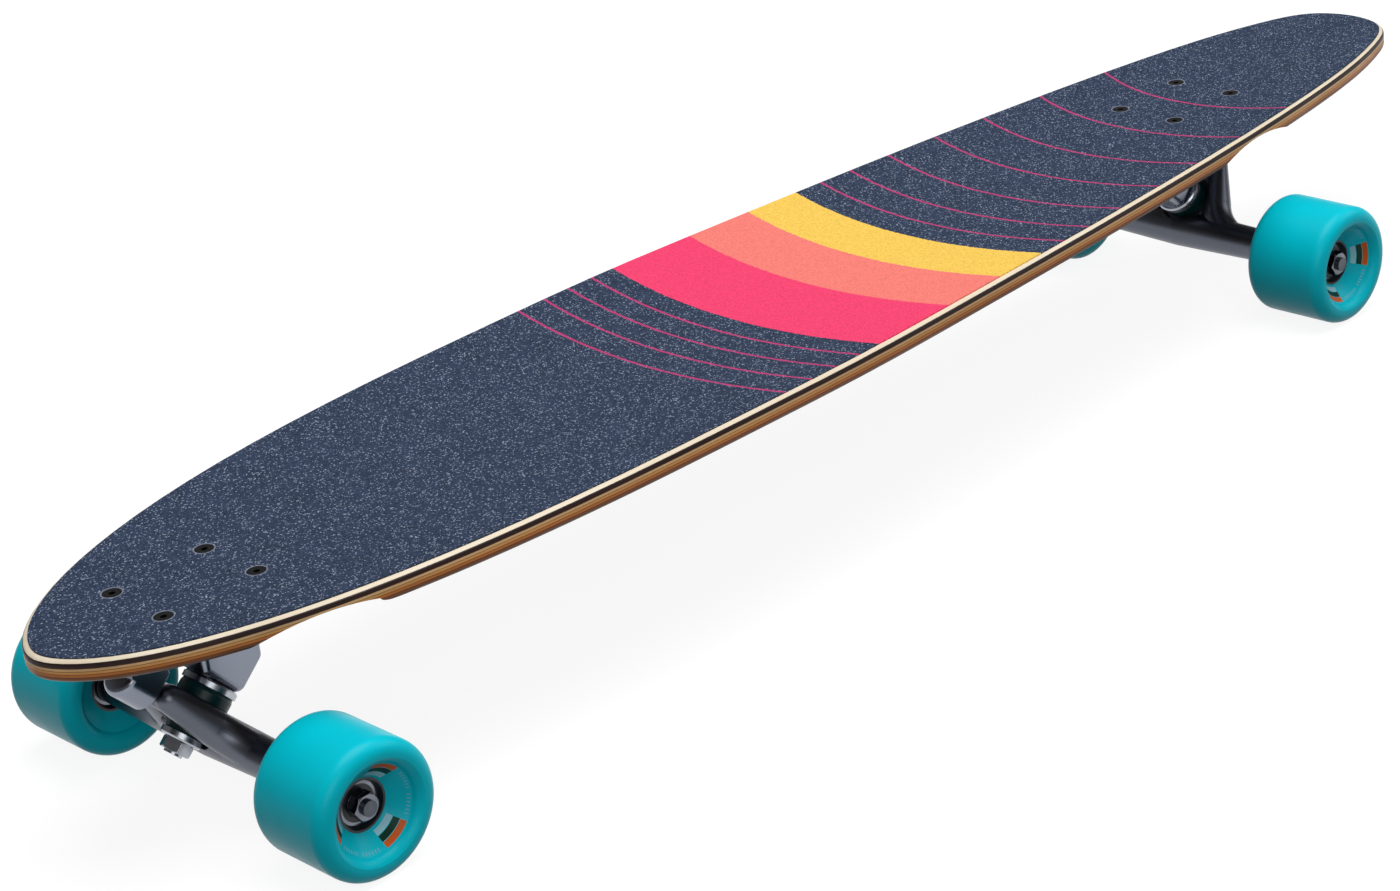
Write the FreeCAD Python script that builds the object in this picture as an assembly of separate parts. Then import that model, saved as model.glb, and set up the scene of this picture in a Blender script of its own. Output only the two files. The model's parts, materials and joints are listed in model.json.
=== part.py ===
"""Longboard skateboard: pintail deck, two reverse-kingpin trucks and four wheels.

Millimetres.  +X points to the nose, +Y to the rider's left, +Z up.
The origin is on the floor, midway between the two tips of the deck.

Trucks are modelled about their axle.  Their steer frame has x along the pivot axis, towards the
pivot, y along the axle and z along the kingpin, towards the board.  Their upright frame has x
along the board, away from its middle, and z up.
"""
import FreeCAD, Part
import math
import os
from FreeCAD import Vector

# Deck
DECK_LENGTH = 1016.0
DECK_WIDTH = 209.6
NOSE_TO_WIDEST = 440.8
NOSE_POWER, NOSE_ROOT = 3.26, 0.569
TAIL_POWER, TAIL_ROOT = 1.151, 0.341
OUTLINE_STEPS, OUTLINE_OVERRUN = 9, 4
CONCAVE_RISE = 4.6
FACE_PLY, DARK_PLY, BOTTOM_PLY = 1.7, 1.9, 1.6
CORE_PLY, CORE_PLIES = 1.5, 4
EDGE_ROUND = 3.0
GRIP_THICKNESS = 0.7
GRIP_INSET = 3.4

# Wheel wells, ground into the underside inboard of each wheel
WELL_INBOARD = 19.0
WELL_RADIUS = 122.0
WELL_DEPTH = 4.2
WELL_REACH = 30.0

# Running gear
NOSE_TO_AXLE = 86.2
WHEELBASE = 745.4
TRUCK_HEIGHT = 70.0
MOUNTING_GAP = 0.05
PIVOT_ANGLE = 48.0
BOLT_SPACING_LONG, BOLT_SPACING_WIDE = 53.98, 41.28

# Mounting bolts and nuts
BOLT_RADIUS = 2.41
BOLT_HOLE_RADIUS = 2.75
BOLT_HEAD_RADIUS = 4.8
BOLT_HEAD_LAND = 0.5
BOLT_HEAD_SINK = 0.15
BOLT_END = 2.4
BOLT_SOCKET_FLATS, BOLT_SOCKET_DEPTH = 3.2, 1.8
BOLT_NUT_FLATS, BOLT_NUT_HEIGHT = 9.5, 5.2
HEAD_CLEARANCE = 0.15

# Baseplate
PLATE_INNER, PLATE_OUTER = 39.0, 50.0
PLATE_WIDTH, PLATE_THICKNESS = 57.0, 6.0
PLATE_CORNER = 9.0
BOSS_WIDTH = 24.0
BOSS_LOW, BOSS_TOP = 5.5, 33.0
BOSS_DEPTH = 22.0
BOSS_CORNER, BOSS_EDGE = 5.0, 4.0
HOUSING_RADIUS, HOUSING_ROUND = 10.8, 3.0
HOUSING_MOUTH, HOUSING_END = 50.9, 69.2

# Kingpin stack, measured along the kingpin
RING_OFFSET = 17.0
PIVOT_RAKE = 3.0
YOKE_THICKNESS = 8.0
KINGPIN_RADIUS, KINGPIN_CLEARANCE = 4.76, 0.05
KINGPIN_GRIP = 17.0
KINGPIN_HEAD_FLATS, KINGPIN_HEAD_HEIGHT = 14.3, 6.0
KINGPIN_TIP = 1.2
KINGPIN_NUT_FLATS, KINGPIN_NUT_HEIGHT = 14.3, 6.0
HEAD_POCKET_RADIUS = 9.2
BOARDSIDE_HEIGHT, BOARDSIDE_RADIUS = 12.4, 12.9
ROADSIDE_HEIGHT, ROADSIDE_RADIUS = 8.2, 11.2
ROADSIDE_TIP_RADIUS = 9.5
BUSHING_BULGE = 0.7
WASHER_THICKNESS = 1.7
WASHER_LIP, WASHER_LIP_WALL = 2.0, 0.9
BUSHING_CLEARANCE = 0.35
WASHER_CLEARANCE = 0.2

# Hanger and its pivot
STEER_LIMIT = 18.0
HANGER_LENGTH = 170.0
ARM_ROOT_RADIUS, ARM_TIP_RADIUS = 11.3, 9.0
RAIL_RADIUS, RAIL_HEAD_RADIUS = 9.0, 7.0
RAIL_HEAD_REACH, RAIL_HEAD_SPREAD = 42.5, 8.5
RAIL_BEND, RAIL_TURN = 30.0, 67.5
RAIL_TILT = 5.0
WEB_FLOOR = 5.0
RING_BOSS_RADIUS = 16.0
RING_CLEARANCE = 0.35
PIVOT_RADIUS, PIVOT_LENGTH, PIVOT_ROUND = 6.0, 14.0, 3.0
PIVOT_CLEARANCE = 0.05
CUP_WALL = 2.5
CUP_FLOOR = 2.0
CUP_END_GAP = 0.4

# Axle, its nuts and washers
AXLE_RADIUS = 3.97
AXLE_TIP = 2.0
AXLE_NUT_FLATS, AXLE_NUT_HEIGHT = 12.7, 6.0
NUT_CORNER_DROP = 0.6
SPEED_WASHER_RADIUS, SPEED_WASHER_THICKNESS = 6.0, 1.0

# Wheels
WHEEL_RADIUS = 35.0
WHEEL_WIDTH = 53.0
WHEEL_INNER_LIP = 73.2
LIP_ROUND = 7.0
LIP_LAND = 1.5
DISH_CURVE_WIDTH, DISH_CURVE_DEPTH, DISH_CURVE_BULGE = 4.0, 4.5, 0.62
DISH_OUTER_DEPTH, DISH_INNER_DEPTH = 13.0, 9.8
CORE_RADIUS = 13.4
CORE_CHAMFER = 1.2
CORE_SHOULDER_RADIUS = 9.6

# Ball bearings
BEARING_BORE_RADIUS, BEARING_RADIUS, BEARING_WIDTH = 4.0, 11.0, 7.0
SPACER_LENGTH, SPACER_RADIUS = 10.0, 5.8
INNER_LAND_RADIUS, OUTER_LAND_RADIUS = 6.1, 8.9
SHIELD_RADIUS, SHIELD_THICKNESS = 9.3, 0.4
SHIELD_RECESS, SHIELD_CLEARANCE = 0.1, 0.25
BALL_RADIUS, BALL_COUNT = 1.985, 7
BALL_CLEARANCE = 0.12
CAGE_HALF_WALL = 0.65
CAGE_OPEN, CAGE_BACK = 1.2, 2.7

# Values worked out from the above
DECK_THICKNESS = FACE_PLY + DARK_PLY + CORE_PLY * CORE_PLIES + BOTTOM_PLY
NOSE_TIP = DECK_LENGTH / 2
FRONT_AXLE_X = NOSE_TIP - NOSE_TO_AXLE
AXLES = {"front": FRONT_AXLE_X, "rear": FRONT_AXLE_X - WHEELBASE}
FACING = {"front": 1, "rear": -1}
SIDES = {"left": 1, "right": -1}
AXLE_Z = WHEEL_RADIUS
UNDERSIDE_Z = AXLE_Z + TRUCK_HEIGHT + MOUNTING_GAP
DECK_TOP_Z = UNDERSIDE_Z + DECK_THICKNESS
CONCAVE_RADIUS = ((DECK_WIDTH / 2) ** 2 + CONCAVE_RISE ** 2) / (2 * CONCAVE_RISE)
PLATE_BOTTOM = TRUCK_HEIGHT - PLATE_THICKNESS
YOKE_TOP = PIVOT_RAKE + YOKE_THICKNESS / 2
YOKE_BOTTOM = PIVOT_RAKE - YOKE_THICKNESS / 2
BOARDSIDE_WASHER_Z = YOKE_TOP + BOARDSIDE_HEIGHT
SEAT_Z = BOARDSIDE_WASHER_Z + WASHER_THICKNESS
ROADSIDE_WASHER_Z = YOKE_BOTTOM - ROADSIDE_HEIGHT
KINGPIN_NUT_Z = ROADSIDE_WASHER_Z - WASHER_THICKNESS
BUSHING_BORE = KINGPIN_RADIUS + BUSHING_CLEARANCE
WASHER_BORE = KINGPIN_RADIUS + WASHER_CLEARANCE
PIVOT_TIP = HOUSING_MOUTH + PIVOT_LENGTH
CUP_BORE = PIVOT_RADIUS + PIVOT_CLEARANCE
CUP_RADIUS = CUP_BORE + CUP_WALL
CUP_DEPTH = PIVOT_LENGTH + CUP_END_GAP
CUP_END = HOUSING_MOUTH + CUP_DEPTH + CUP_FLOOR
INNER_BEARING_Y = HANGER_LENGTH / 2 + SPEED_WASHER_THICKNESS
OUTER_BEARING_Y = INNER_BEARING_Y + BEARING_WIDTH + SPACER_LENGTH
BEARING_STARTS = (INNER_BEARING_Y, OUTER_BEARING_Y)
OUTER_WASHER_Y = OUTER_BEARING_Y + BEARING_WIDTH
AXLE_NUT_Y = OUTER_WASHER_Y + SPEED_WASHER_THICKNESS
AXLE_END = AXLE_NUT_Y + AXLE_NUT_HEIGHT + AXLE_TIP
BALL_PITCH = (INNER_LAND_RADIUS + OUTER_LAND_RADIUS) / 2
FAR = 2000.0
NEARLY = 0.01
STEEP = 0.5
X, Y, Z = Vector(1, 0, 0), Vector(0, 1, 0), Vector(0, 0, 1)
ORIGIN = Vector(0, 0, 0)


# Shared shapes

def revolve(profile, axis=Z, at=ORIGIN):
    """Turn (radius, height) points about the Z axis, then lay that axis along another one."""
    points = [Vector(radius, 0, height) for radius, height in profile]
    face = Part.Face(Part.makePolygon(points + points[:1]))
    solid = face.revolve(ORIGIN, Z, 360)
    solid.Placement = FreeCAD.Placement(at, FreeCAD.Rotation(Z, axis))
    return solid


def ring(outer, inner, start, length, axis=Z, at=ORIGIN):
    """Plain ring that starts some way along its axis."""
    end = start + length
    return revolve([(inner, start), (outer, start), (outer, end), (inner, end)], axis, at)


def hexagon(flats, height, start, axis=Z, at=ORIGIN):
    """Hexagonal prism, given across its flats."""
    corner = flats / math.sqrt(3)
    points = [Vector(corner * math.cos(math.radians(turn)), corner * math.sin(math.radians(turn)), start)
              for turn in range(0, 360, 60)]
    prism = Part.Face(Part.makePolygon(points + points[:1])).extrude(Z * height)
    prism.Placement = FreeCAD.Placement(at, FreeCAD.Rotation(Z, axis))
    return prism


def nut(flats, height, start, bore, axis=Z, at=ORIGIN):
    """Hexagonal nut with its corners turned off."""
    corner = flats / math.sqrt(3)
    flat = flats / 2
    drop = (corner - flat) * NUT_CORNER_DROP
    end = start + height
    turned = revolve([(bore, start), (flat, start), (corner, start + drop), (corner, end - drop),
                      (flat, end), (bore, end)], axis, at)
    return hexagon(flats, height, start, axis, at).common(turned)


def slab(points, depth):
    """Outline in the XZ plane, extruded evenly to both sides of it."""
    outline = Part.makePolygon([Vector(x, -depth / 2, z) for x, z in points + points[:1]])
    return Part.Face(outline).extrude(Y * depth)


def group(solids):
    return Part.makeCompound(solids)


def steer_point(along, towards_board):
    """Point of the steer frame as (x, z) in the upright frame."""
    turn = math.radians(PIVOT_ANGLE)
    return (along * math.cos(turn) - towards_board * math.sin(turn),
            along * math.sin(turn) + towards_board * math.cos(turn))


def upright(shape):
    """Turn a shape from the steer frame to the upright frame."""
    turned = shape.copy()
    turned.rotate(ORIGIN, Y, -PIVOT_ANGLE)
    return turned


def at_truck(shape, end):
    """Set a shape of the upright frame at the front or the rear axle."""
    placed = shape.copy()
    if FACING[end] < 0:
        placed.rotate(ORIGIN, Z, 180)
    placed.translate(Vector(AXLES[end], 0, AXLE_Z))
    return placed


# Deck

def half_width(x, inset=0.0):
    """Half of the deck's width at a place along the board."""
    widest = NOSE_TIP - NOSE_TO_WIDEST
    if x > widest:
        share = (x - widest) / (NOSE_TO_WIDEST - inset)
        power, root = NOSE_POWER, NOSE_ROOT
    else:
        share = (widest - x) / (DECK_LENGTH - NOSE_TO_WIDEST - inset)
        power, root = TAIL_POWER, TAIL_ROOT
    return (DECK_WIDTH / 2 - inset) * max(0.0, 1 - share ** power) ** root


def mirrored(points):
    return [Vector(point.x, -point.y, 0) for point in reversed(points)]


def outline_face(inset=0.0):
    """Pintail outline: each side is one smooth curve from tip to tip, parted at the widest place.

    The curve runs a few points past both tips, so that it crosses them square to the board.
    """
    widest = NOSE_TIP - NOSE_TO_WIDEST
    nose, tail = NOSE_TO_WIDEST - inset, DECK_LENGTH - NOSE_TO_WIDEST - inset
    shares = [math.sin(math.pi / 2 * step / OUTLINE_STEPS) for step in range(OUTLINE_STEPS)]
    stations = [widest + nose * share for share in reversed(shares[1:])]
    stations += [widest - tail * share for share in shares]
    left = [Vector(x, half_width(x, inset), 0) for x in stations]
    tips = [Vector(widest + nose, 0, 0), Vector(widest - tail, 0, 0)]
    curve = Part.BSplineCurve()
    curve.interpolate(Points=mirrored(left[:OUTLINE_OVERRUN]) + tips[:1] + left + tips[1:]
                      + mirrored(left[-OUTLINE_OVERRUN:]))
    start, end = [curve.parameter(tip) for tip in tips]
    middle = curve.parameter(Vector(widest, half_width(widest, inset), 0))
    edges = [curve.toShape(start, middle), curve.toShape(middle, end)]
    edges += [edge.mirror(ORIGIN, Y) for edge in edges]
    return Part.Face(Part.Wire(Part.__sortEdges__(edges)))


def trough(depth):
    """Round bar whose lower side is the concave surface at a depth below the deck's top."""
    radius = CONCAVE_RADIUS + depth
    centre = Vector(-DECK_LENGTH, 0, DECK_TOP_Z + CONCAVE_RADIUS)
    return Part.makeCylinder(radius, 2 * DECK_LENGTH, centre, X)


def layer(prism, top, bottom):
    """What a prism holds between two depths below the deck's top."""
    return prism.common(trough(bottom)).cut(trough(top))


def surface_z(y, depth=0.0):
    """Height of the concave surface at a depth below the deck's top."""
    radius = CONCAVE_RADIUS + depth
    return DECK_TOP_Z + CONCAVE_RADIUS - math.sqrt(radius ** 2 - y ** 2)


def deck_prism(inset=0.0):
    face = outline_face(inset)
    low, high = UNDERSIDE_Z - DECK_THICKNESS, DECK_TOP_Z + CONCAVE_RISE + DECK_THICKNESS
    face.translate(Z * low)
    return face.extrude(Z * (high - low))


def wheel_well(axle_x, facing, side):
    """Drum that grinds one wheel well, deepest at the deck's edge."""
    x = axle_x - facing * WELL_INBOARD
    edge = half_width(x)
    inner_y, outer_y = edge - WELL_REACH, edge
    inner_z = surface_z(inner_y, DECK_THICKNESS)
    outer_z = surface_z(outer_y, DECK_THICKNESS) + WELL_DEPTH
    run = Vector(0, side * (outer_y - inner_y), outer_z - inner_z)
    start = Vector(x, side * inner_y, inner_z - WELL_RADIUS) - run
    return Part.makeCylinder(WELL_RADIUS, 3 * run.Length, start, run)


def bolt_pattern():
    """The four bolts of one truck, in plan about its axle."""
    return [(long_side * BOLT_SPACING_LONG / 2, wide_side * BOLT_SPACING_WIDE / 2)
            for long_side in (-1, 1) for wide_side in (-1, 1)]


def bolt_places():
    """The eight truck bolts, in plan on the deck."""
    return [(axle_x + x, y) for axle_x in AXLES.values() for x, y in bolt_pattern()]


def bolt_head_top():
    return surface_z(BOLT_SPACING_WIDE / 2) + GRIP_THICKNESS - BOLT_HEAD_SINK


def countersink(x, y, clearance):
    """Hole for one truck bolt: shank, cone and head, each with some clearance."""
    head, shank = BOLT_HEAD_RADIUS + clearance, BOLT_RADIUS + clearance
    top = bolt_head_top()
    shoulder = top - BOLT_HEAD_LAND
    neck = shoulder - (head - shank)
    hole = BOLT_HOLE_RADIUS
    profile = [(0, UNDERSIDE_Z - DECK_THICKNESS), (hole, UNDERSIDE_Z - DECK_THICKNESS),
               (hole, neck + hole - shank), (head, shoulder), (head, top + DECK_THICKNESS),
               (0, top + DECK_THICKNESS)]
    return revolve(profile, Z, Vector(x, y, 0))


def deck_blank():
    """The pressed and shaped deck as one piece, before it is parted into plies."""
    blank = layer(deck_prism(), 0.0, DECK_THICKNESS).Solids[0]
    rims = [edge for edge in blank.Edges if abs(edge.tangentAt(edge.FirstParameter).z) < STEEP]
    blank = blank.makeFillet(EDGE_ROUND, rims)
    wells = [wheel_well(AXLES[end], FACING[end], side) for end in AXLES for side in SIDES.values()]
    holes = [countersink(x, y, HEAD_CLEARANCE) for x, y in bolt_places()]
    return blank.cut(wells + holes)


def plies():
    """Deck plies by node name, as (top depth, bottom depth) pairs.

    The outer plies are cut well clear of the deck's own faces.
    """
    above, below = -DECK_THICKNESS, 2 * DECK_THICKNESS
    dark_top = FACE_PLY
    core_top = dark_top + DARK_PLY
    cores = [(core_top + CORE_PLY * number, core_top + CORE_PLY * (number + 1))
             for number in range(CORE_PLIES)]
    bottom_top = cores[-1][1]
    return {"deck_face_ply": [(above, dark_top)],
            "deck_dark_ply": [(dark_top, core_top)],
            "deck_core_plies": cores,
            "deck_bottom_ply": [(bottom_top, below)]}


def grip_tape():
    sheet = layer(deck_prism(GRIP_INSET), -GRIP_THICKNESS, 0.0)
    return sheet.cut([countersink(x, y, HEAD_CLEARANCE) for x, y in bolt_places()])


def mounting_bolt(x, y):
    top = bolt_head_top()
    shoulder = top - BOLT_HEAD_LAND
    neck = shoulder - (BOLT_HEAD_RADIUS - BOLT_RADIUS)
    end = AXLE_Z + PLATE_BOTTOM - BOLT_NUT_HEIGHT - BOLT_END
    body = revolve([(0, end), (BOLT_RADIUS, end), (BOLT_RADIUS, neck), (BOLT_HEAD_RADIUS, shoulder),
                    (BOLT_HEAD_RADIUS, top), (0, top)], Z, Vector(x, y, 0))
    depth = BOLT_SOCKET_DEPTH
    return body.cut(hexagon(BOLT_SOCKET_FLATS, depth, top - depth, Z, Vector(x, y, 0)))


def mounting_nut(x, y):
    start = AXLE_Z + PLATE_BOTTOM - BOLT_NUT_HEIGHT
    return nut(BOLT_NUT_FLATS, BOLT_NUT_HEIGHT, start, BOLT_RADIUS, Z, Vector(x, y, 0))


# Baseplate and kingpin stack

def kingpin_line():
    """Foot of the kingpin's axis in the steer frame."""
    return Vector(RING_OFFSET, 0, 0)


def mounting_plate():
    length = PLATE_INNER + PLATE_OUTER
    plate = Part.makeBox(length, PLATE_WIDTH, PLATE_THICKNESS,
                         Vector(-PLATE_INNER, -PLATE_WIDTH / 2, PLATE_BOTTOM))
    corners = [edge for edge in plate.Edges if abs(edge.tangentAt(edge.FirstParameter).z) > STEEP]
    return plate.makeFillet(PLATE_CORNER, corners)


def kingpin_boss():
    """Block whose lower face is square to the kingpin, with its nose and sides rounded."""
    back = SEAT_Z + BOSS_DEPTH
    tip, top = steer_point(BOSS_LOW, SEAT_Z), steer_point(BOSS_TOP, SEAT_Z)
    corner = steer_point(BOSS_LOW, back)
    root = PLATE_BOTTOM + PLATE_THICKNESS / 2
    block = slab([tip, top, (top[0], root), (corner[0], root), corner], BOSS_WIDTH)
    across = [edge for edge in block.Edges if abs(edge.tangentAt(edge.FirstParameter).y) > STEEP]
    nose = [edge for edge in across
            if min(abs(edge.CenterOfMass.z - height) for height in (tip[1], corner[1])) < NEARLY]
    block = block.makeFillet(BOSS_CORNER, nose)
    rims = [edge for edge in block.Edges
            if abs(edge.CenterOfMass.y) > BOSS_WIDTH / 2 - NEARLY and edge.BoundBox.ZMin < root - NEARLY]
    return block.makeFillet(BOSS_EDGE, rims)


def pivot_housing():
    """Round socket block for the pivot cup, carried up to the plate."""
    barrel = Part.makeCylinder(HOUSING_RADIUS, HOUSING_END - HOUSING_MOUTH,
                               Vector(HOUSING_MOUTH, 0, PIVOT_RAKE), X)
    end = [edge for edge in barrel.Edges if edge.BoundBox.XMin > HOUSING_END - NEARLY]
    barrel = barrel.makeFillet(HOUSING_ROUND, end)
    root = PLATE_BOTTOM + PLATE_THICKNESS / 2
    shoulder = steer_point(HOUSING_MOUTH, PIVOT_RAKE + HOUSING_RADIUS)
    neck = slab([steer_point(HOUSING_MOUTH, PIVOT_RAKE), steer_point(HOUSING_END, PIVOT_RAKE),
                 (PLATE_OUTER - PLATE_CORNER / 2, root), (shoulder[0], root), shoulder],
                2 * HOUSING_RADIUS)
    return upright(barrel).fuse(neck)


def baseplate():
    body = mounting_plate().fuse([kingpin_boss(), pivot_housing()])
    above = Part.makeBox(FAR, FAR, FAR, Vector(-FAR / 2, -FAR / 2, TRUCK_HEIGHT))
    line = kingpin_line()
    bore = Part.makeCylinder(KINGPIN_RADIUS + KINGPIN_CLEARANCE, FAR, line, Z)
    pocket = Part.makeCylinder(HEAD_POCKET_RADIUS, FAR, line + Z * (SEAT_Z + KINGPIN_GRIP), Z)
    socket = Part.makeCylinder(CUP_RADIUS, CUP_END - HOUSING_MOUTH,
                               Vector(HOUSING_MOUTH, 0, PIVOT_RAKE), X)
    holes = [Part.makeCylinder(BOLT_HOLE_RADIUS, FAR, Vector(x, y, PLATE_BOTTOM - BOLT_NUT_HEIGHT), Z)
             for x, y in bolt_pattern()]
    return body.cut([above, upright(bore), upright(pocket), upright(socket)] + holes).removeSplitter()


def pivot_cup():
    profile = [(0, CUP_DEPTH), (CUP_BORE, CUP_DEPTH), (CUP_BORE, 0), (CUP_RADIUS, 0),
               (CUP_RADIUS, CUP_DEPTH + CUP_FLOOR), (0, CUP_DEPTH + CUP_FLOOR)]
    return upright(revolve(profile, X, Vector(HOUSING_MOUTH, 0, PIVOT_RAKE)))


def kingpin():
    line = kingpin_line()
    head_z = SEAT_Z + KINGPIN_GRIP
    end = KINGPIN_NUT_Z - KINGPIN_NUT_HEIGHT - KINGPIN_TIP
    shank = Part.makeCylinder(KINGPIN_RADIUS, head_z - end, line + Z * end, Z)
    head = hexagon(KINGPIN_HEAD_FLATS, KINGPIN_HEAD_HEIGHT, head_z, Z, line)
    return upright(shank.fuse(head).removeSplitter())


def kingpin_nut():
    start = KINGPIN_NUT_Z - KINGPIN_NUT_HEIGHT
    return upright(nut(KINGPIN_NUT_FLATS, KINGPIN_NUT_HEIGHT, start, KINGPIN_RADIUS, Z, kingpin_line()))


def cup_washer(bushing_radius, flat_z, towards_bushing):
    """Washer with a lip that holds the end of a bushing."""
    inner = bushing_radius + BUSHING_CLEARANCE
    outer = inner + WASHER_LIP_WALL
    back = flat_z - towards_bushing * WASHER_THICKNESS
    lip = flat_z + towards_bushing * WASHER_LIP
    rounded = back + towards_bushing * WASHER_LIP_WALL
    profile = [(WASHER_BORE, back), (outer - WASHER_LIP_WALL, back), (outer, rounded), (outer, lip),
               (inner, lip), (inner, flat_z), (WASHER_BORE, flat_z)]
    return upright(revolve(profile, Z, kingpin_line()))


def boardside_washer():
    return cup_washer(BOARDSIDE_RADIUS, BOARDSIDE_WASHER_Z, -1)


def roadside_washer():
    return cup_washer(ROADSIDE_TIP_RADIUS, ROADSIDE_WASHER_Z, 1)


def boardside_bushing():
    """Barrel bushing between the hanger's yoke and the baseplate's washer."""
    waist = BOARDSIDE_RADIUS + BUSHING_BULGE
    low, high = YOKE_TOP, BOARDSIDE_WASHER_Z
    third = BOARDSIDE_HEIGHT / 3
    return upright(revolve([(BUSHING_BORE, low), (BOARDSIDE_RADIUS, low), (waist, low + third),
                            (waist, high - third), (BOARDSIDE_RADIUS, high - WASHER_LIP),
                            (BOARDSIDE_RADIUS, high), (BUSHING_BORE, high)], Z, kingpin_line()))


def roadside_bushing():
    """Cone bushing between the hanger's yoke and the washer under it."""
    low, high = ROADSIDE_WASHER_Z, YOKE_BOTTOM
    return upright(revolve([(BUSHING_BORE, low), (ROADSIDE_TIP_RADIUS, low),
                            (ROADSIDE_TIP_RADIUS, low + WASHER_LIP), (ROADSIDE_RADIUS, high),
                            (BUSHING_BORE, high)], Z, kingpin_line()))


# Hanger and axle

def rail_bend():
    """Root and end of a rail's bend, as (x, y) in the plane of the rails."""
    turn = math.radians(RAIL_TURN)
    end_x = RAIL_BEND * (1 - math.cos(turn))
    end_y = RAIL_HEAD_SPREAD + (RAIL_HEAD_REACH - end_x) / math.tan(turn)
    return (0.0, end_y + RAIL_BEND * math.sin(turn)), (end_x, end_y)


def rail():
    """Round bar that sweeps out of the left arm and thins towards the pivot, with a rounded tip."""
    (root_x, root_y), (end_x, end_y) = rail_bend()
    root, end = Vector(root_x, root_y, 0), Vector(end_x, end_y, 0)
    section = Part.Face(Part.Wire(Part.makeCircle(RAIL_RADIUS, root, Y)))
    bend = section.revolve(root + X * RAIL_BEND, Z, RAIL_TURN)
    run = Vector(RAIL_HEAD_REACH, RAIL_HEAD_SPREAD, 0) - end
    straight = rounded_bar(RAIL_RADIUS, RAIL_HEAD_RADIUS, run.Length, run, end)
    return bend.fuse(straight)


def rounded_bar(root, tip, length, axis, at):
    """Tapered round bar whose tip is half a ball."""
    slope = math.sqrt(0.5)
    corner = Vector(tip, 0, length)
    top = Vector(0, 0, length + tip)
    arc = Part.Arc(corner, Vector(tip * slope, 0, length + tip * slope), top)
    edges = [Part.makeLine(ORIGIN, X * root), Part.makeLine(X * root, corner), arc.toShape(),
             Part.makeLine(top, ORIGIN)]
    bar = Part.Face(Part.Wire(edges)).revolve(ORIGIN, Z, 360)
    bar.Placement = FreeCAD.Placement(at, FreeCAD.Rotation(Z, axis))
    return bar


def hanger_web():
    """Two rails that meet at the pivot, with a floor between them and a boss about the kingpin."""
    left = rail()
    left.rotate(ORIGIN, Y, -RAIL_TILT)
    plan = list(rail_bend()) + [(RAIL_HEAD_REACH, RAIL_HEAD_SPREAD)]
    plan += [(x, -y) for x, y in reversed(plan)]
    outline = Part.makePolygon([Vector(x, y, YOKE_BOTTOM) for x, y in plan + plan[:1]])
    floor = Part.Face(outline).extrude(Z * (WEB_FLOOR - YOKE_BOTTOM))
    boss = Part.makeCylinder(RING_BOSS_RADIUS, YOKE_THICKNESS, kingpin_line() + Z * YOKE_BOTTOM, Z)
    return floor.fuse([left, left.mirror(ORIGIN, Y), boss])


def swing_reliefs():
    """Room in the hanger for the roadside washer and nut as the hanger swings about its pivot."""
    radius = ROADSIDE_TIP_RADIUS + BUSHING_CLEARANCE + WASHER_LIP_WALL + RING_CLEARANCE
    top = ROADSIDE_WASHER_Z + WASHER_LIP + RING_CLEARANCE
    reliefs = []
    for share in (-1.0, -0.5, 0.0, 0.5, 1.0):
        relief = Part.makeCylinder(radius, FAR, kingpin_line() + Z * top, Z * -1)
        relief.rotate(Z * PIVOT_RAKE, X, share * STEER_LIMIT)
        reliefs.append(relief)
    return reliefs


def hanger():
    half = HANGER_LENGTH / 2
    arms = [Part.makeCone(ARM_ROOT_RADIUS, ARM_TIP_RADIUS, half, ORIGIN, Y * side)
            for side in SIDES.values()]
    nose_start = RAIL_HEAD_REACH - RAIL_HEAD_SPREAD
    nose = Part.makeCylinder(PIVOT_RADIUS, PIVOT_TIP - nose_start, Vector(nose_start, 0, PIVOT_RAKE), X)
    tip = [edge for edge in nose.Edges if edge.BoundBox.XMin > PIVOT_TIP - NEARLY]
    nose = nose.makeFillet(PIVOT_ROUND, tip)
    body = hanger_web().fuse(arms + [nose])
    line = kingpin_line()
    swing = math.radians(STEER_LIMIT)
    bore_radius = (KINGPIN_RADIUS + YOKE_THICKNESS / 2 * math.sin(swing)) / math.cos(swing) + RING_CLEARANCE
    bore = Part.makeCylinder(bore_radius, FAR, line - Z * FAR / 2, Z)
    seat_radius = BOARDSIDE_RADIUS + BUSHING_BULGE + RING_CLEARANCE
    upper_seat = Part.makeCylinder(max(seat_radius, RING_BOSS_RADIUS), FAR, line + Z * YOKE_TOP, Z)
    lower_seat = Part.makeCylinder(ROADSIDE_RADIUS + RING_CLEARANCE, FAR, line + Z * YOKE_BOTTOM, Z * -1)
    axle_hole = Part.makeCylinder(AXLE_RADIUS, HANGER_LENGTH, Y * -half, Y)
    return upright(body.cut([bore, upper_seat, lower_seat, axle_hole] + swing_reliefs()).removeSplitter())


def axle():
    return Part.makeCylinder(AXLE_RADIUS, 2 * AXLE_END, Y * -AXLE_END, Y)


def axle_nuts():
    return group([nut(AXLE_NUT_FLATS, AXLE_NUT_HEIGHT, AXLE_NUT_Y, AXLE_RADIUS, Y * side)
                  for side in SIDES.values()])


def speed_washers():
    return group([ring(SPEED_WASHER_RADIUS, BEARING_BORE_RADIUS, start, SPEED_WASHER_THICKNESS, Y * side)
                  for side in SIDES.values() for start in (HANGER_LENGTH / 2, OUTER_WASHER_Y)])


def bearing_spacers():
    return group([ring(SPACER_RADIUS, BEARING_BORE_RADIUS, INNER_BEARING_Y + BEARING_WIDTH,
                       SPACER_LENGTH, Y * side) for side in SIDES.values()])


# Bearings and wheels

def ball_groove(middle, axis):
    return Part.makeTorus(BALL_PITCH, BALL_RADIUS + BALL_CLEARANCE, axis * middle, axis)


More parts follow.
